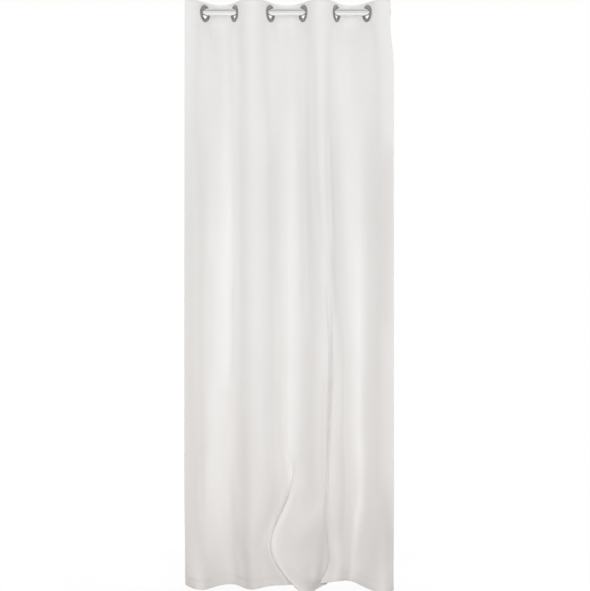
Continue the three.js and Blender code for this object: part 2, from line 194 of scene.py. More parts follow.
PAINTED_STRIPES = {
    "left edge": (PaintedStripe(25, 25, -2120, -2400, 0.4), PaintedStripe(6, 12, -2165, -2400, 0.5, 60)),
    "first crest": (PaintedStripe(12, 18, -450, -1800, 0.15), PaintedStripe(22, 16, -1700, -2080, 0.3)),
    "slope of the first trough": (
        PaintedStripe(5, 16, -900, -1500, -0.2), PaintedStripe(0, 25, -1650, -2200, 0.2)),
    "first trough": (
        PaintedStripe(16, 14, -950, -1500, -0.25), PaintedStripe(0, 25, -1350, -2200, -0.25),
        PaintedStripe(28, 18, -1700, -2100, -0.22), PaintedStripe(50, 27, -2050, -2400, 0.5)),
    "second crest": (PaintedStripe(-22, 16, -250, -1650, 0.19, 200),),
    "shoulder of the second crest": (PaintedStripe(19, 18, -250, -1950, 0.2, 250),),
    "back of the flap": (
        PaintedStripe(-8, 22, -1000, -2050, 0.2), PaintedStripe(22, 14, -1800, -2080, 0.5),
        PaintedStripe(5, 12, -1940, -2400, 0.45, 80), PaintedStripe(12, 14, -2165, -2400, 0.5, 50)),
    "tuck behind the flap": (PaintedStripe(0, 12, -1690, -1890, 0.3, 60),),
    "edge of the flap": (
        PaintedStripe(28, 14, -1800, -2060, -0.25, 100), PaintedStripe(14, 15, -1850, -2400, 0.18),
        PaintedStripe(14, 15, -2010, -2400, 0.18, 100)),
    "front of the flap": (
        PaintedStripe(32, 16, -600, -1300, 0.15), PaintedStripe(25, 30, -1810, -2100, -0.3, 110),
        PaintedStripe(72, 34, -1810, -2050, -0.2, 110), PaintedStripe(10, 28, -2110, -2400, -0.35, 80)),
    "lip of the crease": (PaintedStripe(0, 14, -1350, -1950, -0.2), PaintedStripe(15, 18, -2150, -2400, 0.5, 50)),
    "left of the crease": (PaintedStripe(2, 5, -1150, -1850, -0.35),),
    "edge of the third crest": (
        PaintedStripe(0, 9, -420, -1000, 0.3), PaintedStripe(20, 16, -450, -1000, -0.2),
        PaintedStripe(5, 18, -850, -1250, -0.3), PaintedStripe(4, 7, -1280, -1800, -0.3)),
    "third crest": (
        PaintedStripe(15, 12, -1300, -1700, 0.2), PaintedStripe(20, 40, -1990, -2400, 0.33),
        PaintedStripe(0, 16, -2090, -2400, -0.35, 90)),
    "third trough": (PaintedStripe(2, 12, -1700, -2000, -0.3), PaintedStripe(25, 20, -2100, -2400, 0.35, 100)),
    "fourth crest": (PaintedStripe(25, 32, -450, -1300, -0.27), PaintedStripe(34, 24, -1780, -2400, -0.3)),
}

# Painted shadow along the hem's stitching, between pairs of fold lines.
HEM_SHADOWS = (
    HemShadow("left edge", "slope of the first trough", 0.3),
    HemShadow("first trough", "back of the flap", 0.4),
)


# ---------- curves


def natural_spline(knots: Array, values: Array) -> Curve:
    """Natural cubic spline through values at rising knots.

    The second derivatives at the knots solve the usual three-term system, zero at the ends, and
    add two cubic terms to the straight blend of each pair of knots.

    Args:
        knots: Rising numbers, one for each value.
        values: One number, or one row of numbers, for each knot.

    Returns:
        A function from an array of places to the values there.
    """
    knots = np.asarray(knots, float)
    values = np.asarray(values, float)
    count = len(knots)
    gaps = np.diff(knots)
    shape = (-1,) + (1,) * (values.ndim - 1)
    slopes = np.diff(values, axis=0) / gaps.reshape(shape)
    system = np.eye(count)
    inner = np.arange(1, count - 1)
    system[inner, inner - 1] = gaps[:-1]
    system[inner, inner] = 2.0 * (gaps[:-1] + gaps[1:])
    system[inner, inner + 1] = gaps[1:]
    jumps = np.zeros_like(values)
    jumps[1:-1] = 6.0 * np.diff(slopes, axis=0)
    bend = np.linalg.solve(system, jumps.reshape(count, -1)).reshape(values.shape)

    def curve(places: Array) -> Array:
        """Value of the spline at an array of places."""
        places = np.asarray(places, float)
        i = np.clip(np.searchsorted(knots, places, side="right") - 1, 0, count - 2)
        span = gaps[i].reshape(places.shape + (1,) * (values.ndim - 1))
        b = (places - knots[i]).reshape(span.shape) / span
        a = 1.0 - b
        cubic = (a**3 - a) * bend[i] + (b**3 - b) * bend[i + 1]
        return a * values[i] + b * values[i + 1] + cubic * span**2 / 6.0

    return curve


def smooth_step(share: Array) -> Array:
    """Rises from 0 to 1 over shares 0 to 1, level at both ends: 3u² − 2u³."""
    u = np.clip(share, 0.0, 1.0)
    return u * u * (3.0 - 2.0 * u)


def spaced(start: float, end: float, step: float) -> Array:
    """Evenly spaced numbers from start up to, not with, end, no further apart than step."""
    count = max(1, math.ceil(abs(end - start) / step))
    return np.linspace(start, end, count, endpoint=False)


def round_turn(count: int) -> Array:
    """Angles of a full turn in equal steps, as a column."""
    return np.linspace(0.0, 2.0 * math.pi, count, endpoint=False)[:, None]


def running(steps: Array) -> Array:
    """Running sum of steps, from 0 before the first."""
    return np.concatenate([[0.0], np.cumsum(steps)])


def chords(points: Array) -> Array:
    """Straight distances from each point of a line to the next."""
    return np.linalg.norm(np.diff(points, axis=0), axis=1)


def unit(vectors: Array) -> Array:
    """Vectors over their own length."""
    return vectors / np.linalg.norm(vectors, axis=-1, keepdims=True)


def quarter(centre: tuple[float, float], reach: tuple[float, float], count: int) -> Array:
    """Points of a quarter ellipse about a centre, from its reach sideways to its reach upward."""
    turn = np.linspace(0.0, math.pi / 2.0, count)
    return np.array(centre) + np.array(reach) * np.stack([np.cos(turn), np.sin(turn)], axis=-1)


def on_line(along: Array, lengths: Array, points: Array) -> Array:
    """Places at distances along a line, given the length up to each of its points."""
    return np.stack([np.interp(along, lengths, axis) for axis in points.T], axis=-1)


def bell(offset: Array, width: float) -> Array:
    """Bell curve exp(−u²) of an offset over a width."""
    return np.exp(-((offset / width) ** 2))


def window(values: Array, low: float, high: float, fade: float) -> Array:
    """1 between two values, and down to 0 over a fade inside each of them."""
    return smooth_step((values - low) / fade) * smooth_step((high - values) / fade)


# ---------- meshes


def new_object(name: str, points: Array, faces: Sequence[Sequence[int]]) -> bpy.types.Object:
    """Links points and faces into the scene as a smooth-shaded mesh object at the origin.

    Args:
        name: Name of the object and of its mesh.
        points: Points in metres.
        faces: Vertex numbers of each face.

    Returns:
        The new object.
    """
    mesh = bpy.data.meshes.new(name)
    mesh.from_pydata(points.tolist(), [], faces)
    mesh.polygons.foreach_set("use_smooth", np.ones(len(mesh.polygons), bool))
    mesh.update()
    piece = bpy.data.objects.new(name, mesh)
    bpy.context.scene.collection.objects.link(piece)
    return piece


def ring_faces(sections: int, around: int, closed: bool = True) -> Array:
    """Quads of a grid of closed sections, such as a ring's surface, or a tube's if not closed.

    Args:
        sections: Number of sections.
        around: Number of points in each section.
        closed: Whether the last section is joined to the first.

    Returns:
        One row of four vertex numbers for each quad.
    """
    i, k = np.meshgrid(np.arange(sections if closed else sections - 1), np.arange(around),
                       indexing="ij")
    j = (i + 1) % sections
    m = (k + 1) % around
    corners = (i * around + k, j * around + k, j * around + m, i * around + m)
    return np.stack(corners, axis=-1).reshape(-1, 4)


def turned(
    name: str, profile: Array, centre: Sequence[float], axis: Sequence[float],
    level: Sequence[float], around: int,
) -> bpy.types.Object:
    """Turns a closed section about an axis.

    A point is the centre plus its radius times the unit circle square to the axis, plus its height
    along the axis.

    Args:
        name: Name of the object.
        profile: Radius and height of each point of the section, in millimetres.
        centre: Centre of the turned piece, in millimetres.
        axis: Unit vector of the axis.
        level: Unit vector square to the axis, where the turn starts.
        around: Number of steps of the turn.

    Returns:
        The new object.
    """
    turn = round_turn(around)
    circle = np.array(level) * np.cos(turn) + np.cross(axis, level) * np.sin(turn)
    points = (np.array(centre) + circle[:, None, :] * profile[None, :, :1]
              + np.array(axis) * profile[None, :, 1:])
    faces = ring_faces(around, len(profile))
    return new_object(name, points.reshape(-1, 3) * MM, faces.tolist())


def give_map(piece: bpy.types.Object, flat: Array) -> None:
    """Gives a mesh the map CLOTH_MAP, from one flat place for each vertex."""
    layer = piece.data.uv_layers.new(name=CLOTH_MAP)
    corner = np.empty(len(piece.data.loops), np.int32)
    piece.data.loops.foreach_get("vertex_index", corner)
    layer.data.foreach_set("uv", flat[corner].ravel())


def give_painted_light(piece: bpy.types.Object, painted_light: Array) -> None:
    """Gives a mesh its painted light and shade as a point attribute: 0 paints the shaded colour, 1
    the lit colour.
    """
    layer = piece.data.attributes.new(PAINTED_LIGHT_ATTRIBUTE, "FLOAT", "POINT")
    layer.data.foreach_set("value", painted_light.astype(np.float32))


# ---------- the heading


class Heading:
    """The top of the cloth: straight where an eyelet grips it, and round bends in between.

    All lengths are in millimetres. The shape is a chain of runs, each straight or an arc, that
    leaves every eyelet centred on the rod's axis. A run is its length and the directions at its
    ends. From the left these are a straight, the side bend, three runs for each eyelet (the
    straight before its centre, the one after it and the bend to the next) and a straight.
    """

    def __init__(self, half_flat: float, side_radius: float, width: float) -> None:
        """Chains the runs and places them on the rod.

        Args:
            half_flat: Half of the straight stretch that each eyelet grips.
            side_radius: Radius of the bends outside the first and the last eyelet.
            width: Width of the cloth.
        """
        turns = [math.radians(eyelet.turn) for eyelet in EYELETS]
        bends = [self.bend_between(after.x - before.x, abs(first), abs(second), half_flat)
                 for before, after, first, second in zip(EYELETS, EYELETS[1:], turns, turns[1:])]
        bends.append((half_flat, side_radius * abs(turns[-1]), 0.0))
        runs = [(side_radius * abs(turns[0]), 0.0, turns[0])]
        straight = half_flat
        for turn, following, (after, bend, before) in zip(turns, [*turns[1:], 0.0], bends):
            runs += [(straight, turn, turn), (after, turn, turn), (bend, turn, following)]
            straight = before
        reach = half_flat * math.cos(turns[0]) + side_radius * math.sin(turns[0])
        left = EYELETS[0].x - reach - FOLDS[0].across[0]
        right = width - left - sum(length for length, *_ in runs)
        runs = [(left, 0.0, 0.0), *runs, (right, 0.0, 0.0)]
        self.lengths, self.first, self.last = np.array(runs).T
        self.starts = running(self.lengths[:-1])
        self.marks = self.starts[3:-1:3]
        self.origins = np.zeros((len(runs), 2))
        steps = self.follow(np.arange(len(runs)), self.lengths)
        self.origins[1:] = np.cumsum(steps[:-1], axis=0)
        self.origins += (EYELETS[0].x, 0.0) - self.origins[3]

    @staticmethod
    def bend_between(
        distance: float, first: float, second: float, half_flat: float
    ) -> Triple:
        """Round bend between two eyelets.

        The radius is what is left of the distance once both straights are taken off, over the
        width of the bend at radius one. The flatter side runs straight a little longer.

        Args:
            distance: Distance between the eyelets along the rod.
            first: Angle between cloth and rod at the first eyelet.
            second: The same at the second eyelet.
            half_flat: Half of the straight stretch that each eyelet grips.

        Returns:
            Lengths of the straight before the bend, of the bend and of the straight after it.
        """
        small, large = sorted((first, second))
        straight = half_flat * (math.sin(large) / math.tan(small) + math.cos(large))
        drop = math.cos(small) - math.cos(large)
        spread = drop / math.tan(small) + math.sin(small) + math.sin(large)
        radius = (distance - straight) / spread
        longer = (half_flat * math.sin(large) + radius * drop) / math.sin(small)
        bend = radius * (first + second)
        return (longer, bend, half_flat) if first <= second else (half_flat, bend, longer)

    def follow(self, run: Array, distance: Array) -> Array:
        """Points at distances along runs.

        A straight goes on by the distance in its direction. An arc of radius length over turn
        moves by the radius times the difference of the sines and cosines of its directions.

        Args:
            run: Number of the run for each point.
            distance: Distance from the start of that run.

        Returns:
            x and y of each point.
        """
        first = self.first[run]
        turn = self.last[run] - first
        angle = first + turn * distance / self.lengths[run]
        flat = np.abs(turn) < 1e-9
        radius = self.lengths[run] / np.where(flat, 1.0, turn)
        x = np.where(flat, distance * np.cos(first), radius * (np.sin(angle) - np.sin(first)))
        y = np.where(flat, distance * np.sin(first), radius * (np.cos(first) - np.cos(angle)))
        return self.origins[run] + np.stack([x, y], axis=-1)

    def at(self, along: Array) -> Array:
        """Points at distances along the cloth from its left edge."""
        run = np.clip(np.searchsorted(self.starts, along, side="right") - 1, 0, None)
        return self.follow(run, along - self.starts[run])


# ---------- the folds


@dataclass(frozen=True)
class Section:
    """A level section through the folds.

    curve holds its points, lengths the length up to each, knots where the fold points lie as
    shares of the curve's steps, and width the cloth's width, which the whole curve stands for.
    """

    curve: Array
    lengths: Array
    knots: Array
    width: float

    def points_at(self, along: Array) -> Array:
        """Points at places along the cloth."""
        return on_line(along / self.width * self.lengths[-1], self.lengths, self.curve)

    def fold_places(self) -> Array:
        """Place along the cloth of each fold point."""
        steps = np.linspace(0.0, 1.0, len(self.lengths))
        return np.interp(self.knots, steps, self.lengths) / self.lengths[-1] * self.width


@dataclass
class FoldSections:
    """Level sections through the folds, each led through the fold points at its height.

    width is the cloth's, which every section holds in full. steps is the number of chords that
    measure a section while its depth is scaled, between scales, and final_steps is that of a
    finished section.
    """

    width: float
    steps: int = 900
    final_steps: int = 2700
    scales: tuple[float, float] = (0.5, 1.6)
    halvings: int = 24

    def __post_init__(self) -> None:
        """Prepares the paths of the folds."""
        drops = -np.array(LEVELS, float)
        self.nearest, self.furthest = drops[0], drops[-1]
        across = np.array([fold.across for fold in FOLDS], float)
        depth = np.array([fold.depth for fold in FOLDS], float)
        self.paths = natural_spline(drops, np.stack([across.T, depth.T], axis=-1))

    def strip(self, points: Array, scale: float, steps: int) -> Section:
        """Even curve through points whose depth is scaled.

        Knots lie at the running sum of the straight distances between the points.

        Args:
            points: Fold points, x and y in each row.
            scale: Factor on their depth.
            steps: Number of chords.

        Returns:
            The section.
        """
        scaled = points * (1.0, scale)
        knots = running(chords(scaled))
        curve = natural_spline(knots, scaled)(np.linspace(0.0, knots[-1], steps + 1))
        return Section(curve, running(chords(curve)), knots / knots[-1], self.width)

    def at_height(self, height: float) -> Section:
        """Section at a height, its depth scaled by halving until it holds the cloth's width."""
        drop = np.clip(-height, self.nearest, self.furthest)
        points = self.paths(np.array([drop]))[0]
        low, high = self.scales
        for _ in range(self.halvings):
            middle = (low + high) / 2.0
            if self.strip(points, middle, self.steps).lengths[-1] < self.width:
                low = middle
            else:
                high = middle
        return self.strip(points, low, self.final_steps)

    def mean_places(self) -> Array:
        """Place along the cloth of each fold on average over the levels below the first."""
        return np.mean([self.at_height(level).fold_places() for level in LEVELS[1:]], axis=0)


@dataclass(frozen=True)
class Grid:
    """The grid that the cloth's mesh is made on, in millimetres.

    along holds the places of the columns along the heading, heights those of the rows, sections
    and folds the folds' section and their places along the cloth in each row, and places the place
    along the cloth of every point, rows by columns.
    """

    along: Array
    heights: Array
    sections: Sequence[Section]
    folds: Array
    places: Array


# ---------- finishes


@dataclass(frozen=True)
class Finish:
    """A surface whose two linear colours are mixed by a mask.

    Each kind also says how the shared grain lies on it: stretch holds factors on the grain's three
    coordinates, and fine and patch are the numbers of fine grains and soft patches to the metre.
    """

    name: str
    light: Triple
    dark: Triple
    roughness: float


@dataclass(frozen=True)
class VelvetFinish(Finish):
    """Short-pile velvet, or its plain reverse, its colour mixed from a lit and a shaded copy by the
    painted light and shade.

    sheen is the strength of the soft light at grazing angles, nap the height of the pile's grain
    in metres, and patches how far its tone wanders at random from place to place, 0 to 1.
    """

    sheen: float
    nap: float
    patches: float
    stretch: Triple = (1.0, 0.35, 1.0)
    fine: float = 1400.0
    patch: float = 9.0
    sheen_roughness: float = 0.5
    sheen_tint: Triple = (1.0, 0.99, 0.98)
    specular: float = 0.2
    nap_strength: float = 0.35


@dataclass(frozen=True)
class MetalFinish(Finish):
    """A polished or brushed metal, dark in its duller patches.

    roughness is on average, and hairline is the strength of its hairlines, whose depth is in
    metres.
    """

    hairline: float
    stretch: Triple = (1.0, 1.0, 1.0)
    fine: float = 2500.0
    patch: float = 60.0
    hairline_depth: float = 0.00002
    smoothest: float = 0.8
    roughest: float = 1.3


@dataclass(frozen=True)
class ThreadFinish(Finish):
    """Sewing thread, darker in fine streaks of noise."""

    stretch: Triple = (1.0, 1.0, 0.3)
    fine: float = 3000.0
    patch: float = 30.0


# Both velvets mix a lit and a shaded copy of their colour by the painted light and shade, with random
# patches of tone on top.
VELVET_FACE_WITH_PAINTED_SHADE = VelvetFinish(
    "velvet_face_with_painted_shade", (0.906, 0.902, 0.895), (0.712, 0.697, 0.686), 0.95, 1.0, 0.00025, 0.075)
VELVET_REVERSE = VelvetFinish(
    "velvet_reverse", (0.80, 0.79, 0.78), (0.77, 0.76, 0.75), 0.9, 0.1, 0.00012, 0.3)
NICKEL = MetalFinish("polished_nickel", (0.36, 0.36, 0.355), (0.30, 0.30, 0.295), 0.16, 0.07)
STEEL = MetalFinish(
    "satin_steel", (0.95, 0.95, 0.95), (0.88, 0.88, 0.88), 0.20, 0.1, (0.04, 1.0, 1.0))
THREAD = ThreadFinish("sewing_thread", (0.80, 0.785, 0.77), (0.72, 0.7065, 0.693), 0.7)


class Graph:
    """A node tree, with short calls that fill it."""

    def __init__(self, tree: bpy.types.NodeTree) -> None:
        """Takes the tree."""
        self.tree = tree

    def join(self, node: bpy.types.Node, inputs: Mapping[str | int, object]) -> None:
        """Sets inputs of a node, by name or number, to a value or joins them to an output."""
        for name, value in inputs.items():
            if isinstance(value, bpy.types.NodeSocket):
                self.tree.links.new(value, node.inputs[name])
            else:
                node.inputs[name].default_value = value

    def add(
        self, kind: str, inputs: Mapping[str | int, object] | None = None, **settings: object,
    ) -> bpy.types.bpy_prop_collection:
        """Adds a node to the right of the last one.

        Args:
            kind: Type of the node.
            inputs: What join gives its inputs.
            settings: Values of its properties.

        Returns:
            Its outputs.
        """
        node = self.tree.nodes.new(kind)
        node.location = (200.0 * len(self.tree.nodes) - 2000.0, 0.0)
        for name, value in settings.items():
            setattr(node, name, value)
        self.join(node, inputs or {})
        return node.outputs


def grain_group() -> bpy.types.NodeTree:
    """Node group for a surface's grain, shared by all finishes.

    Fine noise on the given coordinates gives Height, and coarse noise gives Patch, a mask that
    wanders softly over the surface. Both are 0 to 1.
    """
    group = bpy.data.node_groups.new("surface_grain", "ShaderNodeTree")
    for name, way, kind in (
        ("Coordinates", "INPUT", "Vector"), ("Fine scale", "INPUT", "Float"),
        ("Patch scale", "INPUT", "Float"), ("Height", "OUTPUT", "Float"),
        ("Patch", "OUTPUT", "Float"),
    ):
        group.interface.new_socket(name=name, in_out=way, socket_type="NodeSocket" + kind)
    graph = Graph(group)
    source = graph.add("NodeGroupInput")
    place = source["Coordinates"]
    fine = graph.add("ShaderNodeTexNoise", {
        "Vector": place, "Scale": source["Fine scale"], "Detail": 3.0, "Roughness": 0.6})
    patch = graph.add("ShaderNodeTexNoise", {
        "Vector": place, "Scale": source["Patch scale"], "Detail": 2.0, "Roughness": 0.5})
    spread = graph.add("ShaderNodeMapRange", {
        "Value": patch["Fac"], "From Min": 0.3, "From Max": 0.7})
    graph.add("NodeGroupOutput", {"Height": fine["Fac"], "Patch": spread["Result"]})
    return group


class Finisher:
    """Makes each finish into a material, once, around the shared grain group."""

    def __init__(self) -> None:
        """Builds the group that all the finishes share."""
        self.grain = grain_group()
        self.made: dict[str, bpy.types.Material] = {}

    def give(self, piece: bpy.types.Object, finish: Finish) -> None:
        """Adds a finish to the materials of a piece."""
        if finish.name not in self.made:
            material = bpy.data.materials.new(finish.name)
            material.use_nodes = True
            tree = material.node_tree
            makers = {VelvetFinish: self.velvet, MetalFinish: self.metal, ThreadFinish: self.thread}
            makers[type(finish)](finish, Graph(tree), tree.nodes["Principled BSDF"])
            self.made[finish.name] = material
        piece.data.materials.append(self.made[finish.name])

    def place_grain(
        self, graph: Graph, finish: Finish, coordinates: bpy.types.NodeSocket
    ) -> bpy.types.bpy_prop_collection:
        """Places the grain group in a material.

        Args:
            graph: The material's nodes.
            finish: Finish that says how the grain lies.
            coordinates: Coordinates in metres, which are stretched.

        Returns:
            Outputs of the group.
        """
        place = graph.add("ShaderNodeMapping", {"Vector": coordinates, "Scale": finish.stretch})
        sockets = {"Coordinates": place["Vector"], "Fine scale": finish.fine,
                   "Patch scale": finish.patch}
        return graph.add("ShaderNodeGroup", sockets, node_tree=self.grain)

    @staticmethod
    def colour(graph: Graph, finish: Finish, mask: bpy.types.NodeSocket) -> bpy.types.NodeSocket:
        """Mixes a finish's colours by a mask, dark where it is 0."""
        sockets = {"Factor": mask, "A": (*finish.dark, 1.0), "B": (*finish.light, 1.0)}
        return graph.add("ShaderNodeMix", sockets, data_type="RGBA")["Result"]

    def velvet(self, finish: VelvetFinish, graph: Graph, shader: bpy.types.Node) -> None:
        """Velvet on the cloth's own map: painted light and shade from the mesh's attribute, random
        patches, fine nap and sheen.
        """
        flat = graph.add("ShaderNodeUVMap", uv_map=CLOTH_MAP)
        grain = self.place_grain(graph, finish, flat["UV"])
        painted_light = graph.add("ShaderNodeAttribute", attribute_name=PAINTED_LIGHT_ATTRIBUTE)
        # Random patches of tone plus the painted light and shade choose between the lit and the
        # shaded colour.
        tone_and_painted_light = graph.add(
            "ShaderNodeMath", {0: grain["Patch"], 1: finish.patches, 2: painted_light["Fac"]},
            operation="MULTIPLY_ADD", use_clamp=True)
        bump = graph.add("ShaderNodeBump", {
            "Strength": finish.nap_strength, "Distance": finish.nap, "Height": grain["Height"]})
        graph.join(shader, {
            "Base Color": self.colour(graph, finish, tone_and_painted_light["Value"]),
            "Roughness": finish.roughness,
            "Specular IOR Level": finish.specular,
            "Sheen Weight": finish.sheen,
            "Sheen Roughness": finish.sheen_roughness,
            "Sheen Tint": (*finish.sheen_tint, 1.0),
            "Normal": bump["Normal"]})

    def metal(self, finish: MetalFinish, graph: Graph, shader: bpy.types.Node) -> None:
        """Metal with fine hairlines and soft patches that are a little duller."""
        grain = self.place_grain(graph, finish, graph.add("ShaderNodeTexCoord")["Object"])
        gloss = graph.add("ShaderNodeMapRange", {
            "Value": grain["Height"], "To Min": finish.roughness * finish.smoothest,
            "To Max": finish.roughness * finish.roughest})
        bump = graph.add("ShaderNodeBump", {
            "Strength": finish.hairline, "Distance": finish.hairline_depth,
            "Height": grain["Height"]})
        graph.join(shader, {
            "Base Color": self.colour(graph, finish, grain["Patch"]), "Metallic": 1.0,
            "Roughness": gloss["Result"], "Normal": bump["Normal"]})

    def thread(self, finish: ThreadFinish, graph: Graph, shader: bpy.types.Node) -> None:
        """Thread whose colour is darker in fine streaks of noise."""
        grain = self.place_grain(graph, finish, graph.add("ShaderNodeTexCoord")["Object"])
        graph.join(shader, {
            "Base Color": self.colour(graph, finish, grain["Height"]),
            "Roughness": finish.roughness})


# ---------- the curtain panel


@dataclass(frozen=True)
class PaintedShading:
    """Painted light and shade of the velvet, 0 to 1: 0 gives its shaded colour and 1 its lit colour.

    It paints shade on the crests of the folds and light in the troughs: it rises smoothly with
    the depth, in millimetres behind the rod, from front to back, by less in the heading. A band of
    painted shade lies below the heading, and painted shade grows toward the hem, over the whole
    width. Near the top it paints a little more light, and more shade again with the square of the
    distance from the rod's plane. Heights are in millimetres.
    """

    usual: float = 0.585
    crest_shade: float = 0.155
    trough_light: float = 0.5
    front: float = 8.0
    back: float = 65.0
    least: float = 0.5
    start: float = -300.0
    ease: float = 600.0
    band_shade: float = 0.17
    band_shade_at: float = -650.0
    band_shade_reach: float = 330.0
    lower_shade: float = 0.28
    lower_shade_start: float = -1880.0
    lower_shade_ease: float = 330.0
    top_light: float = 0.15
    top_crest_shade: float = 0.3
    top_trough_shade: float = 0.36
    top_shade_depth: float = 60.0
    top_light_end: float = -200.0
    top_light_ease: float = 400.0
    edge_start: float = -10.0
    edge_ease: float = 90.0
    seam_shadow_height: float = 6.0
    seam_shadow_rise: float = 30.0
    seam_shadow_fall: float = 15.0

    def plain(self, surface: Array) -> Array:
        """Painted light and shade by depth and height alone, before the painted stripes beside the
        folds.

        Args:
            surface: Points of the cloth's middle surface.

        Returns:
            Lay of every point.
        """
        y, z = surface[..., 1], surface[..., 2]
        folded = smooth_step((self.start - z) / self.ease)
        folded = self.least + (1.0 - self.least) * folded
        depth = smooth_step((y - self.front) / (self.back - self.front))
        painted_light = self.usual + (self.trough_light * depth - self.crest_shade) * folded
        painted_light -= self.band_shade * bell(z - self.band_shade_at, self.band_shade_reach)
        painted_light -= self.lower_shade * smooth_step((self.lower_shade_start - z) / self.lower_shade_ease)
        near_top = 1.0 - smooth_step((self.top_light_end - z) / self.top_light_ease)
        crests = np.clip(-y / self.top_shade_depth, 0.0, 1.0) ** 2
        troughs = np.clip(y / self.top_shade_depth, 0.0, 1.0) ** 2
        troughs *= smooth_step((self.edge_start - z) / self.edge_ease)
        top_shade = self.top_crest_shade * crests + self.top_trough_shade * troughs
        return painted_light + near_top * (self.top_light - top_shade)

    def painted_light(self, surface: Array, grid: Grid, hem_seam: float) -> Array:
        """Painted light and shade with the painted stripes beside the folds and the painted shadow
        along the hem's stitching.

        Args:
            surface: Points of the cloth's middle surface.
            grid: Grid of the cloth.
            hem_seam: Height of the hem's stitching.

        Returns:
            Painted light and shade of every grid point, 0 to 1.
        """
        painted_light = self.plain(surface)
        line = dict(zip((fold.name for fold in FOLDS), grid.folds.T[..., None]))
        for fold, stripes in PAINTED_STRIPES.items():
            for stripe in stripes:
                along = window(grid.heights, stripe.foot, stripe.top, stripe.fade)[:, None]
                across = bell(grid.places - line[fold] - stripe.offset, stripe.width)
                painted_light += stripe.gain * across * along
        sewn = bell(grid.heights - hem_seam, self.seam_shadow_height)[:, None]
        for mark in HEM_SHADOWS:
            rise = smooth_step((grid.places - line[mark.left]) / self.seam_shadow_rise)
            fall = smooth_step((line[mark.right] - grid.places) / self.seam_shadow_fall)
            painted_light -= mark.gain * rise * fall * sewn
        return np.clip(painted_light, 0.0, 1.0)


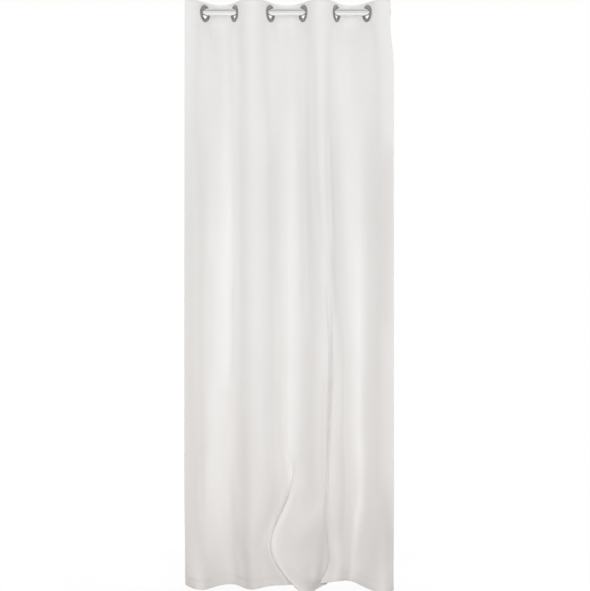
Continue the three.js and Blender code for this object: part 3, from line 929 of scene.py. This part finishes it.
@dataclass
class Panel:
    """The curtain: one cloth with a gripped heading, uneven folds and stitched hems.

    All sizes are in millimetres.
    """

    finisher: Finisher
    width: float = 1170.0
    top: float = 38.0
    hem_line: float = -2242.0
    half_thickness: float = 1.0
    hole_radius: float = 24.0
    grip_reach: float = 37.0
    grip_margin: float = 2.0
    side_radius: float = 52.0
    heading_end: float = -44.0
    heading_ease: float = 180.0
    heading_depth: float = 100.0
    hem_depth: float = 32.0
    side_hem: float = 28.0
    hem_extra: float = 1.2
    heading_extra: float = 0.2
    seam_pull: float = 0.35
    hem_pull_width: float = 3.5
    heading_pull_width: float = 3.0
    hem_swell: float = 0.3
    swell_ease: float = 12.0
    half_seam: float = 1.5
    follow_ease: float = 846.0
    coarse_column: float = 6.5
    tight_column: float = 1.0
    tight_gap: float = 26.0
    grading: float = 0.4
    edge_column: float = 5.2
    hole_step: float = 4.0
    edge_row: float = 4.5
    heading_row: float = 6.0
    upper_row: float = 26.0
    flap_row: float = 14.5
    lower_row: float = 7.0
    flap_top: float = -1480.0
    flap_wide: float = -1980.0
    stitch_pitch: float = 4.2
    stitch_length: float = 2.8
    stitch_mesh: tuple[int, int] = (4, 5)
    thread_radius: float = 0.3

    def __post_init__(self) -> None:
        """Works out the heading, the folds and the drop of the hem."""
        self.heading_seam = self.top - self.heading_depth
        self.hem_seam = self.hem_line + self.hem_depth
        self.heading = Heading(self.grip_reach, self.side_radius, self.width)
        self.folds = FoldSections(self.width)
        places = self.folds.at_height(self.hem_line).fold_places()
        self.hem_drop = natural_spline(places, np.array([fold.hem for fold in FOLDS], float))
        self.even = self.folds.mean_places()
        gaps = np.diff(self.even)
        self.tight = self.even[1:-1][np.minimum(gaps[1:], gaps[:-1]) < self.tight_gap]

    def graded(self, start: float, end: float, coarse: float) -> Array:
        """Places along the cloth in coarse steps, and in fine ones beside tight folds.

        The step is the distance from the nearest tight fold times the grading, held between the
        fine and the coarse step.

        Args:
            start: First place.
            end: Where the places stop, itself left out.
            coarse: Longest step.

        Returns:
            Rising places.
        """
        trial = np.linspace(start, end, 300)
        away = np.abs(trial[:, None] - self.tight).min(axis=1)
        step = np.clip(self.grading * away, self.tight_column, coarse)
        count = running(2.0 * np.diff(trial) / (step[1:] + step[:-1]))
        total = max(1, math.ceil(count[-1]))
        return np.interp(np.linspace(0.0, count[-1], total, endpoint=False), count, trial)

    def columns(self) -> Array:
        """Places of the mesh's columns along the cloth.

        Both sides have close columns for their rounded edge and hem, and the cloth between is
        divided at the sides of every eyelet's hole and finely beside the tight folds.
        """
        hem = spaced(5.0, self.side_hem - 2.0, self.edge_column)
        side = np.concatenate([EDGE_STEPS, hem, [self.side_hem - 1.0]])
        start = self.side_hem + 1.0
        parts = [side]
        for mark in self.heading.marks:
            hole = mark - self.hole_radius
            parts.append(self.graded(start, hole, self.coarse_column))
            start = mark + self.hole_radius
            parts.append(self.graded(hole, start, self.hole_step))
        end = self.width - self.side_hem - 1.0
        parts.append(self.graded(start, end, self.coarse_column))
        parts.append(self.width - np.append(side, self.side_hem + 1.0)[::-1])
        return np.concatenate(parts)

    def rows(self) -> Array:
        """Heights of the mesh's rows, close at the edges, the holes, the hem and the flap."""
        hole_top = self.hole_radius - EYELET_DROP
        hole_foot = -self.hole_radius - EYELET_DROP
        return np.concatenate([
            self.top - EDGE_STEPS,
            spaced(self.top - 5.0, hole_top, self.edge_row),
            spaced(hole_top, hole_foot, self.hole_step),
            spaced(hole_foot, self.heading_seam + 4.0, self.heading_row),
            self.heading_seam + np.array([4.0, 1.5, 0.0, -1.5]),
            spaced(self.heading_seam - 4.0, self.flap_top, self.upper_row),
            spaced(self.flap_top, self.flap_wide, self.flap_row),
            spaced(self.flap_wide, self.hem_seam + 8.0, self.lower_row),
            self.hem_seam + np.array([8.0, 4.0, 1.5, -1.5]),
            spaced(self.hem_seam - 4.0, self.hem_line + 4.0, self.edge_row),
            [self.hem_line + 4.0],
            self.hem_line + EDGE_STEPS[::-1],
        ])

    def anchors(self, folds: Array) -> Array:
        """Places of the folds, with the seams of the two side hems, which stay where they are."""
        seam = self.side_hem + 2.0
        return np.concatenate([folds[:1], [seam], folds[1:-1], [self.width - seam], folds[-1:]])

    def grid(self) -> Grid:
        """Grid of the cloth.

        In the heading every column keeps its own place. Below it the columns come to follow the
        folds: a column keeps its share of the way between the two folds beside it.
        """
        along, heights = self.columns(), self.rows()
        sections = [self.folds.at_height(height) for height in heights]
        folds = np.stack([section.fold_places() for section in sections])
        even = self.anchors(self.even)
        followed = np.stack([np.interp(along, even, self.anchors(row)) for row in folds])
        share = smooth_step((self.heading_end - heights) / self.follow_ease)[:, None]
        return Grid(along, heights, sections, folds, along * (1.0 - share) + followed * share)

    def middle(self, grid: Grid) -> Array:
        """Middle surface of the cloth on a grid.

        Each row blends the heading into the folds' section at its height over the ease below the
        heading. Toward the hem the height sinks by the hem's drop times the cube of the share of
        the way down.

        Args:
            grid: Grid of the cloth.

        Returns:
            Points in millimetres, rows by columns by three.
        """
        folded = np.stack(
            [section.points_at(row) for section, row in zip(grid.sections, grid.places)])
        below = self.heading_end - grid.heights[:, None]
        share = smooth_step(below / self.heading_ease)[..., None]
        plan = self.heading.at(grid.places) * (1.0 - share) + folded * share
        fall = np.clip(below / (self.heading_end - self.hem_line), 0.0, None)
        z = grid.heights[:, None] - self.hem_drop(grid.places) * fall**3
        return np.concatenate([plan, z[..., None]], axis=-1)

    @staticmethod
    def normals(surface: Array) -> Array:
        """Unit normals of a grid toward the face: the way down crossed with the way along."""
        down = np.gradient(surface, axis=0)
        across = np.gradient(surface, axis=1)
        return unit(np.cross(down, across))

    def relief(self, heights: Array) -> Array:
        """How far each row of the middle surface is lifted toward the face, in millimetres.

        Each seam pulls the cloth in along its line, and the hem below its seam swells a little.
        """
        seams = bell(heights - self.hem_seam, self.hem_pull_width)
        seams += bell(heights - self.heading_seam, self.heading_pull_width)
        swell = window(heights, self.hem_line - self.swell_ease / 2.0, self.hem_seam,
                       self.swell_ease)
        return self.hem_swell * swell - self.seam_pull * seams

    def thickness(self, grid: Grid) -> tuple[Array, Array]:
        """Thickness of the two sides of the cloth.

        Both shrink to nothing at the edges along a quarter circle. The reverse is thicker over
        the turned hems and, a little, over the heading.

        Args:
            grid: Grid of the cloth.

        Returns:
            Distance from the middle surface to the face and to the reverse, in millimetres.
        """
        heights = grid.heights[:, None]
        sides = np.minimum(grid.places, self.width - grid.places)
        ends = np.minimum(self.top - heights, heights - self.hem_line)
        edge = np.clip(np.minimum(sides, ends), 0.0, None)
        nose = np.clip(edge / self.half_thickness, 0.0, 1.0)
        round_off = np.sqrt(1.0 - (1.0 - nose) ** 2)
        doubled = smooth_step((self.side_hem + 1.0 - sides) / 2.0)
        ease = 2.0 * self.half_seam
        hem = smooth_step((self.hem_seam - heights + self.half_seam) / ease)
        heading = smooth_step((heights - self.heading_seam + self.half_seam) / ease)
        extra = self.hem_extra * np.maximum(doubled, hem)
        extra = np.where(heading > 0.0, np.minimum(extra, self.heading_extra), extra)
        extra = np.maximum(extra, self.heading_extra * heading)
        return self.half_thickness * round_off, (self.half_thickness + extra) * round_off

    def hole_warp(self, along: Array, heights: Array) -> tuple[Array, Array, Array]:
        """Moves the grid near each eyelet so that a square of cells becomes a round hole.

        Around an eyelet, a point whose larger offset is c and whose straight distance is e moves
        to the distance c at the hole's edge, and less and less out to the end of the grip.

        Args:
            along: Places of the columns along the heading.
            heights: Heights of the rows.

        Returns:
            Places along and heights of every grid point, and each point's c over the hole's
            radius, 1 on the edge of the nearest hole.
        """
        s, z = np.meshgrid(along, heights)
        level = np.full(s.shape, np.inf)
        outer = self.grip_reach - self.grip_margin
        for mark in self.heading.marks:
            u = s - mark
            v = z + EYELET_DROP
            large = np.maximum(np.abs(u), np.abs(v))
            straight = np.maximum(np.hypot(u, v), 1e-9)
            fade = np.clip((outer - large) / (outer - self.hole_radius), 0.0, 1.0)
            factor = np.where(large < outer, 1.0 + (large / straight - 1.0) * fade, 1.0)
            s = mark + u * factor
            z = v * factor - EYELET_DROP
            level = np.minimum(level, large / self.hole_radius)
        return s, z, level

    def build(self) -> tuple[bpy.types.Object, list[bpy.types.Object]]:
        """Builds the cloth as one closed sheet with six round holes, and its stitches."""
        grid = self.grid()
        surface = self.middle(grid)
        level = np.full(grid.places.shape, np.inf)
        upper = grid.heights > self.heading_end
        s, z, level[upper] = self.hole_warp(grid.along, grid.heights[upper])
        surface[upper] = np.concatenate([self.heading.at(s), z[..., None]], axis=-1)
        normal = self.normals(surface)
        surface = surface + normal * self.relief(grid.heights)[:, None, None]
        rim = np.abs(level - 1.0) < 1e-6
        face, reverse = (np.where(rim, 0.0, part)[..., None] for part in self.thickness(grid))
        front = surface + normal * face
        back = surface - normal * reverse
        inside = (level < 1.0) & ~rim
        piece, used = self.sheet_mesh(grid, front, back, face[..., 0] <= 0.0, inside)
        # Painted light and shade of the velvet, given to both sides of the cloth as a point
        # attribute.
        painted_light = PaintedShading().painted_light(surface, grid, self.hem_seam).ravel()
        give_painted_light(piece, np.concatenate([painted_light, painted_light])[used])
        return piece, self.stitches(grid, front, back, normal)

    def sheet_mesh(
        self, grid: Grid, front: Array, back: Array, shared: Array, inside: Array,
    ) -> tuple[bpy.types.Object, Array]:
        """Joins the face and the reverse of a grid into a closed mesh.

        Grid points of no thickness, at the edges and on the rims of the holes, are shared by the
        two sides, which closes the sheet with a rounded edge.

        Args:
            grid: Grid of the cloth.
            front: Points of the face.
            back: Points of the reverse.
            shared: True for points of no thickness.
            inside: True for points inside a hole, which are left out.

        Returns:
            The cloth, with the reverse's faces in the second material slot, and for each of its
            vertices the number in the front grid followed by the back grid.
        """

        def corners(values: Array) -> Array:
            """Values at the four corners of each cell of the grid, seen from the face."""
            cells = (values[:-1, :-1], values[1:, :-1], values[1:, 1:], values[:-1, 1:])
            return np.stack(cells, axis=-1).reshape(-1, 4)

        kept = ~corners(inside).any(axis=1)
        number = np.arange(inside.size).reshape(inside.shape)
        reverse = np.where(shared, number, number + inside.size)
        faces = np.concatenate([corners(number)[kept], corners(reverse)[kept, ::-1]])
        points = np.concatenate([front.reshape(-1, 3), back.reshape(-1, 3)]) * MM
        used, renumbered = np.unique(faces, return_inverse=True)
        faces = renumbered.reshape(faces.shape)
        piece = new_object("curtain_panel", points[used], faces.tolist())
        rise = np.broadcast_to((grid.heights - self.hem_line)[:, None], inside.shape)
        flat = np.stack([grid.places, rise], axis=-1).reshape(-1, 2) * MM
        give_map(piece, np.concatenate([flat, flat])[used])
        self.finisher.give(piece, VELVET_FACE_WITH_PAINTED_SHADE)
        self.finisher.give(piece, VELVET_REVERSE)
        slots = np.repeat([0, 1], len(faces) // 2).astype(np.int32)
        piece.data.polygons.foreach_set("material_index", slots)
        return piece, used

    def stitch_row(self, name: str, lines: Sequence[tuple[Array, Array]]) -> bpy.types.Object:
        """Stitches along lines on the cloth, one row after the other, as one object.

        Each stitch is a small spindle whose radius is that of the thread times the root of
        1 − u² over its length u from −1 to 1, lying half in the pile. The stitches keep even
        distances along their line.

        Args:
            name: Name of the object.
            lines: Points of each line and the unit normals away from the cloth there.

        Returns:
            The stitches.
        """
        sections, around = self.stitch_mesh
        u = np.linspace(-1.0, 1.0, sections)[:, None, None]
        girth = np.sqrt(np.clip(1.0 - u**2, 0.1, 1.0)) * self.thread_radius
        turn = round_turn(around)
        reach = self.stitch_length / 2.0
        rows = []
        for line, away in lines:
            lengths = running(chords(line))
            pitch = self.stitch_pitch
            centre = np.arange(pitch, lengths[-1] - pitch, pitch)
            before, middle, after, normal = (
                on_line(place, lengths, part)[:, None, None] for place, part in (
                    (centre - reach, line), (centre, line), (centre + reach, line),
                    (centre, away)))
            way = unit(after - before)
            third = unit(np.cross(normal, way))
            ring = np.cross(way, third) * np.cos(turn) + third * np.sin(turn)
            rows.append(middle + way * u * reach + ring * girth)
        points = np.concatenate(rows)
        first = np.arange(len(points))[:, None, None] * sections * around
        cap = np.arange(around)
        ends = np.stack([cap, cap[::-1] + (sections - 1) * around])
        sides = ring_faces(sections, around, closed=False)
        faces = [row for part in (sides, ends) for row in
                 (part + first).reshape(-1, part.shape[1]).tolist()]
        piece = new_object(name, points.reshape(-1, 3) * MM, faces)
        self.finisher.give(piece, THREAD)
        return piece

    def stitches(
        self, grid: Grid, front: Array, back: Array, normal: Array
    ) -> list[bpy.types.Object]:
        """Stitches of the hem, the heading and the two side hems, on both sides of the cloth.

        Args:
            grid: Grid of the cloth.
            front: Points of the face.
            back: Points of the reverse.
            normal: Unit normals toward the face.

        Returns:
            One object for each row of stitches.
        """
        inset = self.side_hem - 1.0
        hem, seam, left, right = (
            int(np.abs(lines - place).argmin()) for lines, place in (
                (grid.heights, self.hem_seam + self.half_seam), (grid.heights, self.heading_seam),
                (grid.along, inset), (grid.along, self.width - inset)))
        level, upright = slice(2, -2), slice(2, hem)
        parts = (("hem_stitches", (hem, level)), ("heading_stitches", (seam, level)),
                 ("left_side_stitches", (upright, left)), ("right_side_stitches", (upright, right)))
        cloth = {Side.FACE: front, Side.REVERSE: back}
        return [
            self.stitch_row(name, [(cloth[side][part], side.value * normal[part]) for side in Side])
            for name, part in parts]


# ---------- metal pieces


@dataclass
class Eyelets:
    """Six two-part eyelets: a domed front ring with its barrel, and a lower ring behind.

    Sizes are in millimetres, over the middle of the cloth. slope and back_slope are the widths of
    the rims' quarter ellipses, front_edge and back_edge the height of the rims' straight edges,
    and lip is the radius of the edge that runs into the bore.
    """

    finisher: Finisher
    bore_radius: float = 21.0
    rim_radius: float = 34.0
    seat: float = 1.3
    front_height: float = 4.6
    back_height: float = 2.4
    barrel_wall: float = 2.2
    slope: float = 6.5
    back_slope: float = 5.0
    lip: float = 3.4
    front_edge: float = 0.5
    back_edge: float = 0.4
    bevel: float = 0.3
    fit: float = 0.3
    around: int = 96

    def front_profile(self) -> Array:
        """Closed section of the front ring, radius and height in each row.

        The flange rises from the rim along a quarter ellipse to the crown, falls over the lip
        along a quarter circle into the bore, and the barrel goes down to the foot.
        """
        outer = quarter((self.rim_radius - self.slope, self.seat + self.front_edge),
                        (self.slope, self.front_height - self.front_edge), 9)
        inner = quarter((self.bore_radius + self.lip, self.seat + self.front_height - self.lip),
                        (-self.lip, self.lip), 9)[::-1]
        barrel = self.bore_radius + self.barrel_wall
        foot = -(self.seat + self.back_height)
        return np.concatenate([
            [[self.rim_radius - self.bevel, self.seat]], outer, inner,
            [[self.bore_radius, foot + 2.0 * self.bevel],
             [self.bore_radius + 2.0 * self.bevel, foot],
             [barrel - self.bevel, foot], [barrel, foot + self.bevel], [barrel, self.seat]],
        ])

    def back_profile(self) -> Array:
        """Closed section of the back ring: a low flange with a quarter-ellipse rim."""
        edge = self.back_edge
        inner = self.bore_radius + self.barrel_wall + self.fit
        rim = quarter((self.rim_radius - self.back_slope, -(self.seat + edge)),
                      (self.back_slope, edge - self.back_height), 7)
        crown = -(self.seat + self.back_height)
        return np.concatenate([
            [[inner, -self.seat], [inner, crown + edge], [inner + edge, crown]], rim[::-1],
            [[self.rim_radius - self.bevel, -self.seat]],
        ])

    def build(self) -> list[tuple[bpy.types.Object, str]]:
        """Builds both halves of every eyelet, each with the node that it stands for."""
        pieces = []
        halves = (("flange", "front", self.front_profile()),
                  ("washer", "back", self.back_profile()))
        for n, place in enumerate(EYELETS, start=1):
            angle = math.radians(place.turn)
            axis = (math.sin(angle), -math.cos(angle), 0.0)
            level = (math.cos(angle), math.sin(angle), 0.0)
            for name, half, profile in halves:
                ring = turned(f"eyelet_{name}_{n}", profile, (place.x, 0.0, -EYELET_DROP), axis,
                              level, self.around)
                self.finisher.give(ring, NICKEL)
                pieces.append((ring, f"eyelet_{half}_{n}"))
        return pieces


@dataclass
class Rod:
    """The rod: a round steel tube with softened ends, as long and thick as the frame's rod."""

    finisher: Finisher
    wall: float = 1.2
    softened: float = 0.4
    stops: int = 41
    around: int = 128

    def build(self) -> bpy.types.Object:
        """Turns the tube's closed section about the rod's axis."""
        low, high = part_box("rod")
        half = (high.x - low.x) / 2.0 / MM
        outer = (high.z - low.z) / 2.0 / MM
        inner = outer - self.wall
        stops = np.linspace(-1.0, 1.0, self.stops) * (half - self.softened)
        sides = [np.stack([np.full_like(stops, radius), along], axis=-1)
                 for radius, along in ((outer, stops), (inner, stops[::-1]))]
        profile = np.concatenate([
            [[outer - self.softened, -half]], sides[0], [[outer - self.softened, half]],
            [[inner + self.softened, half]], sides[1], [[inner + self.softened, -half]],
        ])
        rod = turned("rod_tube", profile, (0.0, 0.0, 0.0), (1.0, 0.0, 0.0), (0.0, 1.0, 0.0),
                     self.around)
        self.finisher.give(rod, STEEL)
        return rod


# ---------- studio


@dataclass(frozen=True)
class Lamp:
    """A large soft lamp: where it stands, what it looks at, its size in metres and its power."""

    name: str
    place: Triple
    target: Triple
    size: tuple[float, float]
    power: float


LAMPS = (
    Lamp("front_lamp", (0.0, -7.5, -1.1), (0.0, 0.0, -1.1), (2.5, 2.5), 248.0),
    Lamp("left_lamp", (-5.0, -3.6, 0.3), (0.0, 0.0, -1.1), (2.5, 2.5), 48.0),
    Lamp("right_lamp", (5.0, -3.6, 0.3), (0.0, 0.0, -1.1), (2.5, 2.5), 59.0),
)


@dataclass
class Studio:
    """Pale floor, white background, soft lamps and the camera.

    Sizes are in metres. The camera looks level along +Y.
    """

    floor_height: float = -2.34
    floor_half: float = 1.6
    floor_glow: float = 0.45
    floor_paint: Triple = (0.9, 0.9, 0.9)
    floor_roughness: float = 0.9
    floor_bounce: Triple = (0.24, 0.17, 0.12)
    ambient: float = 0.51
    mirrored_room: float = 0.85
    mirrored_ceiling: float = 0.5
    ceiling: Triple = (0.0, -0.574, 0.819)
    ceiling_edge: tuple[float, float] = (0.78, 0.9)
    distance: float = 6.5
    camera_x: float = 0.0224
    camera_z: float = -1.105
    framed: float = 2.3049
    sensor: float = 36.0
    furthest: float = 50.0

    def floor(self) -> None:
        """A pale square under the object that shows its shadow and sends little light back up.

        The pale paint is what the camera sees, straight or mirrored in gloss.
        """
        corners = np.array([[-1.0, -1.0], [1.0, -1.0], [1.0, 1.0], [-1.0, 1.0]]) * self.floor_half
        points = np.column_stack([corners, np.full(4, self.floor_height)])
        piece = new_object("studio_floor", points, [[0, 1, 2, 3]])
        material = bpy.data.materials.new("floor_paint")
        material.use_nodes = True
        nodes = material.node_tree.nodes
        graph = Graph(material.node_tree)
        paint = nodes["Principled BSDF"]
        graph.join(paint, {
            "Base Color": (*self.floor_paint, 1.0), "Roughness": self.floor_roughness})
        path = graph.add("ShaderNodeLightPath")
        seen = graph.add("ShaderNodeMath", {0: path["Is Camera Ray"], 1: path["Is Glossy Ray"]},
                         operation="MAXIMUM")
        glow = graph.add("ShaderNodeEmission", {"Strength": self.floor_glow})
        pale = graph.add("ShaderNodeAddShader", {0: glow["Emission"], 1: paint.outputs["BSDF"]})
        dull = graph.add("ShaderNodeBsdfDiffuse", {"Color": (*self.floor_bounce, 1.0)})
        pick = graph.add("ShaderNodeMixShader", {
            "Fac": seen["Value"], 1: dull["BSDF"], 2: pale["Shader"]})
        graph.join(nodes["Material Output"], {"Surface": pick["Shader"]})
        piece.data.materials.append(material)

    def world(self) -> None:
        """Soft light from all round, and a white background for the camera.

        Metal mirrors a paler room whose ceiling in front is darker: the share of the dark rises
        with the cosine of the angle to the middle of that ceiling.
        """
        world = bpy.data.worlds.new("studio_light")
        bpy.context.scene.world = world
        world.use_nodes = True
        nodes = world.node_tree.nodes
        graph = Graph(world.node_tree)
        path = graph.add("ShaderNodeLightPath")
        way = graph.add("ShaderNodeTexCoord")
        closeness = graph.add("ShaderNodeVectorMath", {0: way["Generated"], 1: self.ceiling},
                              operation="DOT_PRODUCT")
        room = graph.add("ShaderNodeMapRange", {
            "Value": closeness["Value"], "From Min": self.ceiling_edge[0],
            "From Max": self.ceiling_edge[1], "To Min": self.mirrored_room,
            "To Max": self.mirrored_ceiling})
        strength = graph.add("ShaderNodeMix", {
            "Factor": path["Is Glossy Ray"], "A": self.ambient, "B": room["Result"]})
        soft = nodes["Background"]
        white = (1.0, 1.0, 1.0, 1.0)
        graph.join(soft, {"Color": white, "Strength": strength["Result"]})
        plain = graph.add("ShaderNodeBackground", {"Color": white, "Strength": 1.0})
        pick = graph.add("ShaderNodeMixShader", {
            "Fac": path["Is Camera Ray"], 1: soft.outputs["Background"], 2: plain["Background"]})
        graph.join(nodes["World Output"], {"Surface": pick["Shader"]})

    def lamp(self, lamp: Lamp) -> None:
        """Sets up one lamp, aimed at its target."""
        data = bpy.data.lights.new(lamp.name, "AREA")
        data.shape = "RECTANGLE"
        data.size, data.size_y = lamp.size
        data.energy = lamp.power
        piece = bpy.data.objects.new(lamp.name, data)
        piece.location = lamp.place
        way = Vector(lamp.target) - Vector(lamp.place)
        piece.rotation_euler = way.to_track_quat("-Z", "Y").to_euler()
        piece.visible_glossy = False
        bpy.context.scene.collection.objects.link(piece)

    def camera(self) -> None:
        """A level camera whose view is as high as the curtain, in front of its middle."""
        data = bpy.data.cameras.new("view")
        data.sensor_fit = "VERTICAL"
        data.sensor_height = self.sensor
        data.lens = self.sensor * self.distance / self.framed
        data.clip_end = self.furthest
        piece = bpy.data.objects.new("view", data)
        piece.location = (self.camera_x, -self.distance, self.camera_z)
        piece.rotation_euler = (math.pi / 2.0, 0.0, 0.0)
        bpy.context.scene.collection.objects.link(piece)
        bpy.context.scene.camera = piece

    def build(self) -> None:
        """Sets up the camera, the world, the floor and the lamps."""
        self.camera()
        self.world()
        self.floor()
        for lamp in LAMPS:
            self.lamp(lamp)
        bpy.context.scene.view_settings.view_transform = "Standard"


# ---------- assembly


def report(piece: bpy.types.Object) -> None:
    """Logs a piece's name, number of faces and size."""
    corners = np.array([corner[:] for corner in piece.bound_box])
    size = np.ptp(corners, axis=0)
    log.info("%s: %d faces, %.3f x %.3f x %.3f m", piece.name, len(piece.data.polygons), *size)


def main() -> None:
    """Builds the curtain around the frame and reports each piece."""
    logging.basicConfig(level=logging.INFO, format="%(name)s: %(message)s")
    Studio().build()
    finisher = Finisher()

    rod = Rod(finisher).build()
    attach(rod, BODY)
    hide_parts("rod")
    report(rod)

    for ring, node in Eyelets(finisher).build():
        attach(ring, BODY)
        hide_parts(node)
        report(ring)

    panel = Panel(finisher)
    cloth, stitches = panel.build()
    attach(cloth, BODY)
    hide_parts("panel")
    report(cloth)
    for row in stitches:
        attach(row, BODY)
        report(row)


if __name__ == "__main__":
    main()
    bpy.context.view_layer.update()
